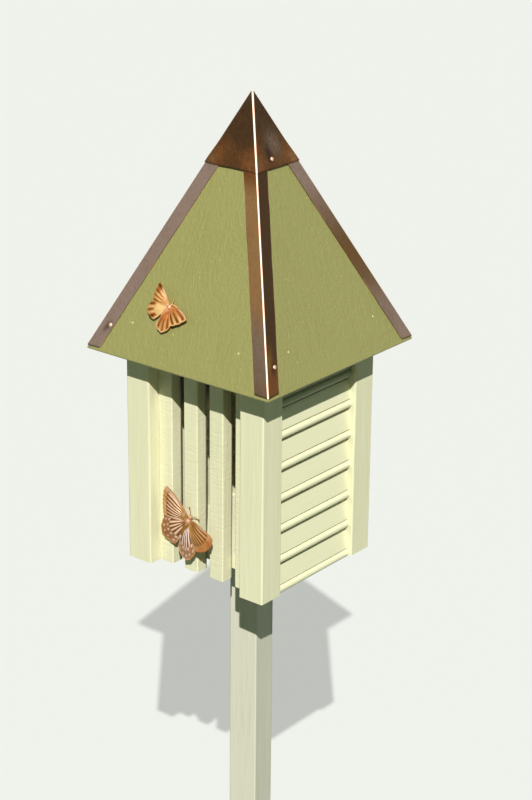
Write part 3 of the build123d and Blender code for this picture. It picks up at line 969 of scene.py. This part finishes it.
def roof_cap():
    """The folded copper peak, dented, flared at its lower edge and nailed on two sides."""
    tip_level = PEAK_LEVEL + CAP_LIFT / cos(ROOF_SLOPE) - CAP_TIP_HALF * tan(ROOF_SLOPE)
    rows = []
    for step in range(CAP_ROWS + 1):
        share = step / CAP_ROWS
        height = CAP_LEVEL + (tip_level - CAP_LEVEL) * share
        lift = CAP_LIFT + CAP_FLARE * (1 - smooth(share, 0.0, CAP_FLARE_SHARE))
        half = (PEAK_LEVEL - height) / tan(ROOF_SLOPE) + lift / sin(ROOF_SLOPE)
        places = [(number, place) for number in range(4) for place in cap_places(half)]
        rows.append([cap_vertex(number, place, half, height, step == 0) for number, place in places])
    sheet = Sheet(tone=linear(UMBER), rubbed=0.0, stain=PLAIN_STAIN)
    top, bottom, layers = sheet.grids(rows)
    tip = len(top[0]) * CAP_ROWS
    sheet.add(top, wrap=True, **layers)
    sheet.faces.append(tuple(range(tip, tip + len(top[0]))))
    sheet.add(bottom, wrap=True, flip=True)
    sheet.add([bottom[0], top[0]], wrap=True)
    nail = on_front_panel(-CAP_NAIL["across"], CAP_UP + CAP_NAIL["up"]) + FRONT_OUT * CAP_NAIL["lift"]
    for number in CAP_NAILED_SIDES:
        sheet.add_nail(number, nail, FRONT_OUT)
    return sheet


def panel_nails():
    """Small painted nail heads, two low on each roof panel."""
    sheet = Sheet()
    for number in range(4):
        for side in (-1, 1):
            foot = on_front_panel(side * PANEL_NAIL["across"], PANEL_NAIL["up"])
            sheet.add_nail(number, foot, FRONT_OUT, PANEL_NAIL["radius"], PANEL_NAIL["height"])
    return sheet


# Butterflies

def bow_at(way, bow, share):
    """How far a bowed line lies from a straight one; its bow is to the left of its way."""
    return Vector((-way.y, way.x)).normalized() * (bow * 4 * share * (1 - share))


def bowed(start, end, bow, share):
    """A point on a bowed line."""
    return start + (end - start) * share + bow_at(end - start, bow, share)


def wing_point(wing, across, out):
    """A point of a right wing: across from leading edge to heel side, out from root to margin."""
    shape = wing["shape"]
    root, tip, heel = (Vector(shape[name]) for name in ("root", "tip", "heel"))
    leading_bow, margin_bow, heel_bow = shape["bows"]
    margin = bowed(tip, heel, margin_bow, across)
    away = (margin - root).normalized()
    margin += away * (SCALLOP_BULGE * (abs(sin(pi * wing["veins"] * across)) - SCALLOP_LEVEL))
    margin -= away * (shape["tip_round"] * (1 - smooth(across, 0.0, TIP_ROUND_SPAN)))
    leading = bow_at(tip - root, leading_bow, out) * (1 - across) ** 2
    inner = bow_at(heel - root, -heel_bow, out) * across ** 2
    return root + (margin - root) * out + leading + inner


def wing_level(wing, place, across, out):
    """How high the sheet of a wing lies at a place, before it is stamped and raised."""
    level = wing["shape"]["level"]
    level += WING_CAMBER * sin(pi * out) * sin(pi * (CAMBER_START + CAMBER_SHARE * across))
    level += WING_WAVES * noise.noise(place * WAVE_SCALE)
    return level - wing["droop"] * smooth(out, DROOP_FROM, 1.0) * (1 - HEEL_DROOP * across)


def wing_relief(wing, across, out):
    """Height of the stamping at a place on a wing, with its shares of ridge and of spot."""
    veins = wing["veins"]
    plain = 1 - smooth(out, *(wing["plain"] + fade for fade in PLAIN_FADE))
    beyond = smooth(out, wing["ribs_to"], wing["ribs_to"] + RIBS_FADE)
    fan = (0.5 + 0.5 * cos(2 * pi * veins * across)) ** VEIN_SHARPNESS
    vein = fan * (1 - plain) * (1 - beyond)
    gaps = (1 - out, across * out, (1 - across) * out)
    rim = max(bell(gap, width) for gap, width in zip(gaps, RIM_WIDTHS))
    height = max(VEIN_HEIGHT * vein, RIM_HEIGHT * rim)
    spot = 0.0
    if wing["spots"]:
        beside = ((across * veins) % 1.0 - 0.5) / veins * SPOT_NARROWING
        spot = max(bell(hypot(beside, out - row), SPOT_SIZE) for row in SPOT_ROWS)
        height = max(height, SPOT_HEIGHT * spot)
    return height, max(vein, rim, spot, PLAIN_RIDGE * plain, wing["margin"] * beyond), spot


def wing_dark(wing, across, out, drift):
    """How dark a wing is at a place, between its ridges and at its tip."""
    between = 1 - abs(cos(pi * wing["veins"] * across))
    dark = smooth(out, wing["dark_from"], wing["dark_from"] + DARK_FADE) * wing["dark"]
    dark = dark * smooth(between, 0.0, DARK_EDGE) * (1 + DARK_DRIFT * drift)
    tip = wing["tip_dark"] * (1 - smooth(across, *TIP_DARK_ACROSS)) * smooth(out, *TIP_DARK_OUT)
    return min(max(dark, tip), 1.0)


def wing_polish_and_highlight(wing, across, out, spot):
    """How bright a wing is at a place: polished on its spots, and polished under a painted highlight along
    its leading edge.
    """
    start, end = wing["edge_span"]
    here = smooth(out, start, start + EDGE_FADE) * (1 - smooth(out, end, end + EDGE_FADE))
    return max(wing["edge"] * bell(across * out, EDGE_WIDTH) * here, SPOT_WEAR * spot)


def wing_vertex(wing, size, side, hinge, across, out):
    """A point of a wing and the one under it, with its ridge, dark patch and tone."""
    flat = wing_point(wing, across, out)
    place = Vector((flat.x, flat.y, side))
    height, ridge, spot = wing_relief(wing, across, out)
    level = wing_level(wing, place, across, out)
    faces = (level + height, level - WING_SHEET / size)
    top, bottom = (hinge @ Vector((flat.x, flat.y, z)) + Z_WAY * BODY_LIFT for z in faces)
    drift = noise.noise(place * DRIFT_SCALE + DRIFT_SHIFT)
    worn_and_highlight = wing_polish_and_highlight(wing, across, out, spot)
    bare = (1 - wing["rim"] * smooth(out, *BARE_RIM)) * (1 - worn_and_highlight)
    tone = towards(mixed(out + TONE_DRIFT * drift, wing["tones"]), WORN_HIGHLIGHT_COPPER, worn_and_highlight)
    return top, bottom, max(ridge, worn_and_highlight), wing_dark(wing, across, out, drift) * bare, tone


def add_wing(sheet, wing, size, side, raised):
    """One wing as a closed stamped sheet; side is 1 for the right wing and -1 for the left."""
    hinge = Matrix.Diagonal((side, 1, 1)) @ Matrix.Rotation(radians(-raised), 3, "Y") * size
    steps = VEIN_STEPS * wing["veins"]
    rows = []
    for step in range(STEPS_OUT + 1):
        out = WING_ROOT_SHARE + (1 - WING_ROOT_SHARE) * step / STEPS_OUT
        rows.append([wing_vertex(wing, size, side, hinge, place / steps, out) for place in range(steps + 1)])
    sheet.add_plate(rows, flip=side > 0)


def add_lathed(sheet, profile, size, tone):
    """A body along Y from places and radii that are shares of the size."""
    rows = []
    for y, radius in profile:
        rows.append(circle(Vector((0, y * size, BODY_LIFT)), X_WAY, Z_WAY, radius * size, BODY_SIDES))
    sheet.add(rows, wrap=True, tone=[[linear(tone)] * BODY_SIDES] * len(rows))


def abdomen_profile(start, end, radius, tail, taper, segments, steps, groove, groove_at, groove_width):
    """Rounded segments that taper to the tail."""
    points = []
    for step in range(1, segments * steps + 1):
        share = step / (segments * steps)
        reach = max(radius * sqrt(1 - share ** taper) + tail * share * (1 - share), 0.0)
        in_groove = bell((share * segments) % 1.0 - groove_at, groove_width)
        points.append((start + (end - start) * share, reach * (1 - groove * in_groove)))
    return points


def add_antenna(sheet, end, size, side, tone):
    """A bent wire with a club at its end."""
    steps, sides = ANTENNA["steps"], ANTENNA["sides"]
    spine = []
    for step in range(steps + 1):
        flat = bowed(Vector(ANTENNA["base"]), Vector(end), ANTENNA["bow"], step / steps) * size
        spine.append(Vector((side * flat.x, flat.y, BODY_LIFT * (1 - ANTENNA["drop"] * step / steps))))
    rows = []
    for step, centre in enumerate(spine):
        ahead = (spine[min(step + 1, steps)] - spine[max(step - 1, 0)]).normalized()
        across = ahead.cross(Z_WAY).normalized()
        club = bell(step / steps - ANTENNA["club_at"], ANTENNA["club_width"])
        radius = ANTENNA["radius"] + (ANTENNA["club"] - ANTENNA["radius"]) * club
        radius *= 1 - smooth(step / steps, *ANTENNA["end"])
        rows.append(circle(centre, across, across.cross(ahead), radius, sides))
    sheet.add(rows, wrap=True, flip=side < 0, tone=[[linear(tone)] * sides] * len(rows))


def add_pin(sheet):
    """The pin from the wood to the middle of the body."""
    ends = (Vector(), Z_WAY * BODY_LIFT)
    sheet.add([circle(end, X_WAY, Y_WAY, PIN_RADIUS, ROUND_SIDES) for end in ends], wrap=True)


def butterfly(node, style, origin, out, material):
    """A stamped butterfly with ridged wings, a segmented body and two wire antennae."""
    sheet = Sheet(ridge=0.5, patch=0.0, tone=linear(GOLDEN))
    size = style["size"]
    for side, half_name in ((1, "right"), (-1, "left")):
        half = style[half_name]
        for name in ("hindwing", "forewing"):
            add_wing(sheet, PLAIN_WING | style["wing"] | half[name], size, side, half["raised"])
        add_antenna(sheet, ANTENNA[half_name], size, side, style["antenna"])
    add_lathed(sheet, BODY_PROFILE, size, style["thorax"])
    add_lathed(sheet, BODY_PROFILE[-1:] + abdomen_profile(**ABDOMEN), size, style["abdomen"])
    add_pin(sheet)
    piece = sheet.piece(node + "_stamped", material, seat(origin, out, style["tilt"]))
    placed(piece, node)


# The scene

add_camera()
add_far_lamp("sun", **SUN)
add_far_lamp("fill", **FILL)
add_surroundings()
add_floor()

dress(sawn_wood("upright_paint", **SAWN_UPRIGHT), "corner_post")
# The slats, the right boards and the roof board have painted shade all over their inner faces
dress(sawn_wood("slat_paint", **SAWN_UPRIGHT, saw_marks=SAW_MARKS, inside_shade_from=0.0), "front_slat", "back_slat")
dress(sawn_wood("level_paint", **SAWN_LEVEL, eave_shade=EAVE_SHADE_SHARE), "left_board", "floor_board")
dress(sawn_wood("outer_paint_shaded_inside", **SAWN_LEVEL, inside_shade_from=0.0, eave_shade=EAVE_SHADE_SHARE), "right_board", "roof_base")
dress(sawn_wood("pole_paint", **SAWN_POLE, colour=POLE_PAINT, thin_colour=POLE_PAINT_THIN), "pole")
for side, across in (("front", "X"), ("back", "X"), ("left", "Y"), ("right", "Y")):
    dress(roof_wood("roof_paint_" + side, across), "roof_panel_" + side)

placed(roof_cap().piece("roof_cap_folded", aged_copper("cap_copper", 1.0, 0.25)), "roof_cap")
strip_copper = aged_copper("strip_copper", 0.35, 0.12)
for number, (corner, legs) in enumerate(STRIP_TONES.items()):
    strip = hip_strip(number, list(legs.values())).piece(f"hip_strip_{corner}_folded", strip_copper)
    placed(strip, "hip_strip_" + corner)
placed(panel_nails().piece("roof_nails", painted_metal("painted_nails", PAINTED_NAIL)))

roof_place = on_front_panel(ROOF_BUTTERFLY_X, ROOF_BUTTERFLY_UP)
golden_copper = stamped_copper("golden_copper", ORANGE)
butterfly("roof_butterfly", ROOF_BUTTERFLY, roof_place, FRONT_OUT, golden_copper)
slat_low, slat_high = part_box("front_slat_2")
slat_place = Vector(((slat_low.x + slat_high.x) / 2, slat_low.y, slat_low.z + FRONT_BUTTERFLY_UP))
pink_copper = stamped_copper("pink_copper", SHADED_COPPER)
butterfly("front_butterfly", FRONT_BUTTERFLY, slat_place, -Y_WAY, pink_copper)

bpy.context.scene.view_settings.view_transform = "Standard"
